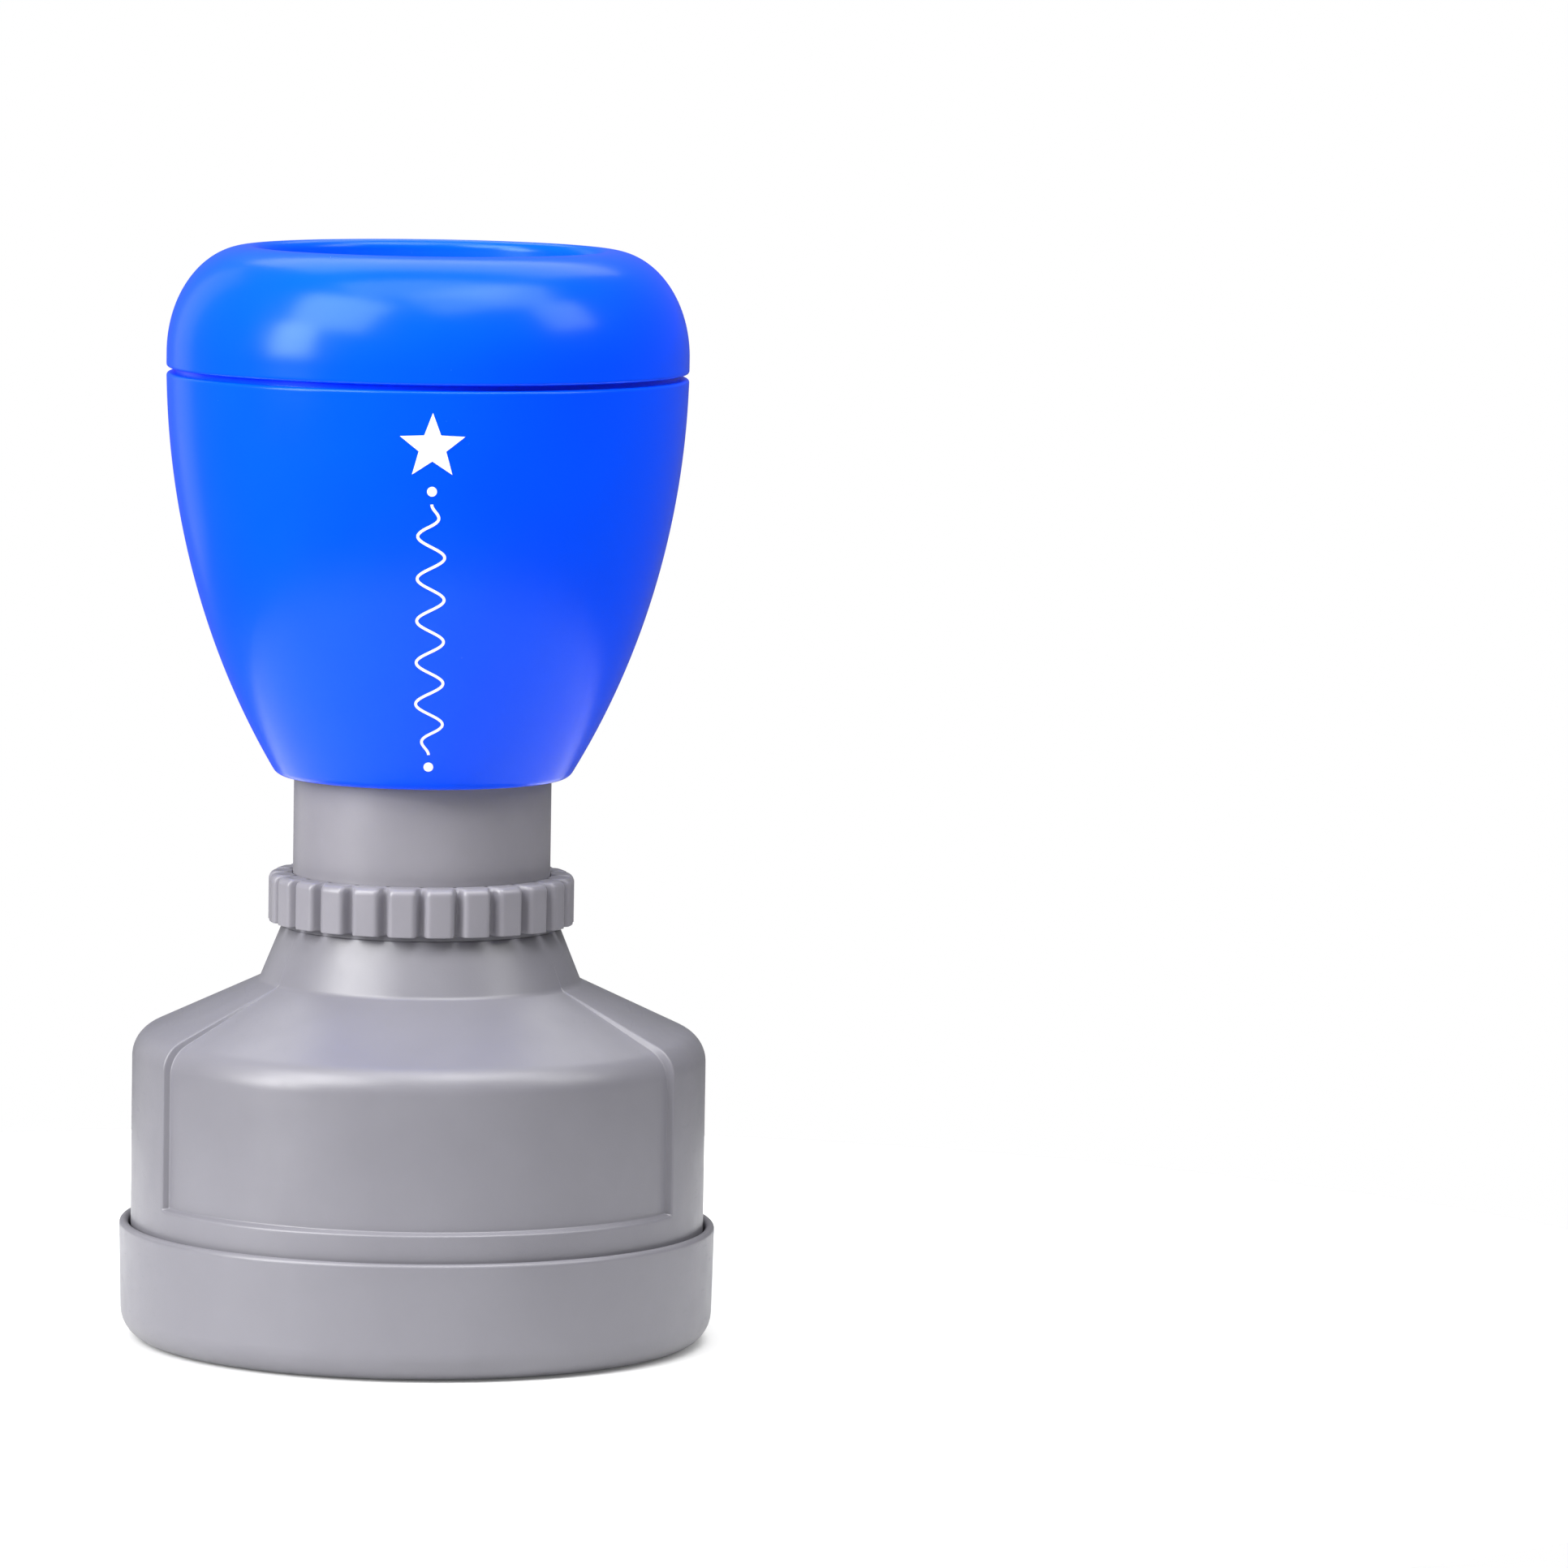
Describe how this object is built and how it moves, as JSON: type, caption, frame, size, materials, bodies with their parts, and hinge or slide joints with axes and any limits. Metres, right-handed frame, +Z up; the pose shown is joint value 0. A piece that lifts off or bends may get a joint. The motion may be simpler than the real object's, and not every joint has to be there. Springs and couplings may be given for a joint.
{
  "type": "round hand stamp",
  "caption": "Round pre-inked hand stamp with a bulb handle, a sprung plunger in a skirt housing, a knurled neck ring and a dust cap over the die.",
  "frame": {"origin": "centre of the dust cap's resting face, on the stamp's axis", "axes": "+Z up along the stamp's axis from the dust cap to the handle, -Y towards the front of the handle"},
  "size_m": [0.052, 0.052, 0.0952],
  "materials": {
    "grey_plastic": "satin moulded plastic",
    "blue_plastic": "glossy moulded plastic",
    "natural_plastic": "unpigmented moulded plastic",
    "black_plastic": "low-friction moulded plastic",
    "spring_steel": "bright zinc",
    "black_rubber": "matt rubber",
    "inked_felt": "felt soaked with blue ink",
    "die_foam": "fine closed foam",
    "label_paper": "printed paper",
    "clear_plastic": "clear acrylic"
  },
  "bodies": {
    "base": {"housing": "grey_plastic", "neck_tube": "grey_plastic", "guide_bush": "black_plastic", "return_spring": "spring_steel"},
    "cap": {"dust_cap": "grey_plastic"},
    "slip_washer": {"ring_washer": "grey_plastic"},
    "nut": {"knurled_ring": "grey_plastic"},
    "handle": {"handle_shell": "blue_plastic", "handle_cap": "blue_plastic", "index_label": "label_paper", "label_lens": "clear_plastic", "plunger": "natural_plastic", "spring_washer": "spring_steel", "stop_ring": "black_rubber", "carrier": "natural_plastic", "carrier_screw": "spring_steel", "screw_washer": "spring_steel", "ink_plugs": "black_rubber", "reservoir_pad": "inked_felt", "stamp_die": "die_foam", "clamp_ring": "natural_plastic"}
  },
  "joints": [
    {"name": "press", "type": "slide", "parent": "base", "child": "handle", "axis": [0, 0, -1], "range_m": [0, 0.0046], "stiffness_N_per_m": 1200, "springref_m": -0.005, "deforming": ["return_spring"]},
    {"name": "washer_lift", "type": "slide", "parent": "base", "child": "slip_washer", "axis": [0, 0, 1], "range_m": [0, 0.0015]},
    {"name": "ring_turn", "type": "hinge", "parent": "slip_washer", "child": "nut", "pos_m": [0, 0, 0.0387], "axis": [0, 0, 1], "range_deg": [0, 360]},
    {"name": "cap_pull", "type": "slide", "parent": "base", "child": "cap", "axis": [0, 0, -1], "range_m": [0, 0.02]}
  ],
  "couplings": [
    {"joint": "ring_turn", "follows": "washer_lift", "rad_per_m": 4188}
  ]
}
